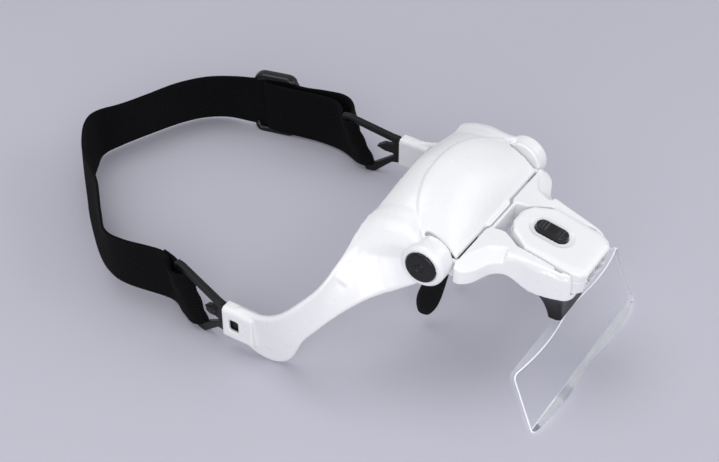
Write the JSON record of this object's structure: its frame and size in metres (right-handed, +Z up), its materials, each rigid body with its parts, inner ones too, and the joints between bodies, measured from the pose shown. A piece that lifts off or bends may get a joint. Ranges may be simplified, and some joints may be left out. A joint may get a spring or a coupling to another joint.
{
  "type": "head visor magnifier",
  "caption": "Head-worn magnifier with a flip-up visor, clear binocular lens, tilting lamp, temple arms and an elastic strap with plug-in clips.",
  "frame": {"origin": "on the mirror plane, under the visor's pivot axis, on the plane that the object rests on", "axes": "+Z up, -Y towards the front where the lens is, -X towards the wearer's right"},
  "size_m": [0.1585, 0.2819, 0.084],
  "materials": {
    "white_abs": "satin moulded ABS",
    "white_inner": "matt moulded ABS",
    "black_plastic": "satin moulded nylon",
    "black_rubber": "soft silicone rubber",
    "black_elastic": "ribbed woven elastic",
    "acrylic": "polished clear acrylic",
    "clear_window": "clear moulded acrylic with facets",
    "chrome_plating": "vacuum plated reflector",
    "led_epoxy": "clear epoxy over phosphor",
    "board_green": "solder mask",
    "spring_brass": "spring brass",
    "steel": "zinc plated steel"
  },
  "bodies": {
    "head_frame": {"brow_shell": "white_abs", "brow_liner": "white_inner", "liner_screws": "steel", "pivot_screw_right": "steel", "pivot_screw_left": "steel", "pivot_washers": "steel", "retaining_rings": "steel", "pivot_cap_right": "black_plastic", "pivot_cap_left": "black_plastic", "nose_bridge": "black_plastic"},
    "nose_pad_right": {"nose_pad_right": "black_rubber"},
    "nose_pad_left": {"nose_pad_left": "black_rubber"},
    "visor": {"visor_bracket": "white_abs", "lens_clip": "black_plastic", "clip_screws": "steel", "lens_spring": "steel"},
    "lens": {"lens": "acrylic"},
    "lamp": {"lamp_upper_housing": "white_abs", "lamp_lower_housing": "white_abs", "led_window": "clear_window", "led_reflector": "chrome_plating", "leds": "led_epoxy", "circuit_board": "board_green", "tact_switch": "black_plastic", "battery_cells": "steel", "battery_contacts": "spring_brass", "lamp_screws": "steel", "lamp_pivot_pins": "steel"},
    "switch_button": {"switch_button": "black_plastic"},
    "battery_door": {"battery_door": "white_abs"},
    "strap": {"strap_clip_right": "black_plastic", "strap_clip_left": "black_plastic", "strap_band": "black_elastic"},
    "strap_slider": {"strap_slider": "black_plastic"}
  },
  "joints": [
    {"name": "visor_flip", "type": "hinge", "parent": "head_frame", "child": "visor", "pos_m": [0, 0, 0.064], "axis": [-1, 0, 0], "range_deg": [0, 60]},
    {"name": "lens_release", "type": "slide", "parent": "visor", "child": "lens", "axis": [0, -0.395, -0.9187], "range_m": [0, 0.0115]},
    {"name": "lamp_tip", "type": "hinge", "parent": "visor", "child": "lamp", "pos_m": [0, -0.02395, 0.05946], "axis": [-1, 0, 0], "range_deg": [0, 20]},
    {"name": "button_press", "type": "slide", "parent": "lamp", "child": "switch_button", "axis": [0, 0.1736, -0.9848], "range_m": [0, 0.0005], "stiffness_N_per_m": 300},
    {"name": "battery_door_pull", "type": "slide", "parent": "lamp", "child": "battery_door", "axis": [0, 0.1736, -0.9848], "range_m": [0, 0.008], "stiffness_N_per_m": 30},
    {"name": "nose_pad_right_rock", "type": "hinge", "parent": "head_frame", "child": "nose_pad_right", "pos_m": [-0.012, 0.0086, 0.036], "axis": [0, 0, 1], "range_deg": [-10, 10]},
    {"name": "nose_pad_left_rock", "type": "hinge", "parent": "head_frame", "child": "nose_pad_left", "pos_m": [0.012, 0.0086, 0.036], "axis": [0, 0, 1], "range_deg": [-10, 10]},
    {"name": "strap_unplug", "type": "slide", "parent": "head_frame", "child": "strap", "axis": [0, 1, 0], "range_m": [0, 0.015]},
    {"name": "slider_shift", "type": "slide", "parent": "strap", "child": "strap_slider", "axis": [0.2346, -0.9721, 0], "range_m": [-0.005, 0.005]}
  ]
}
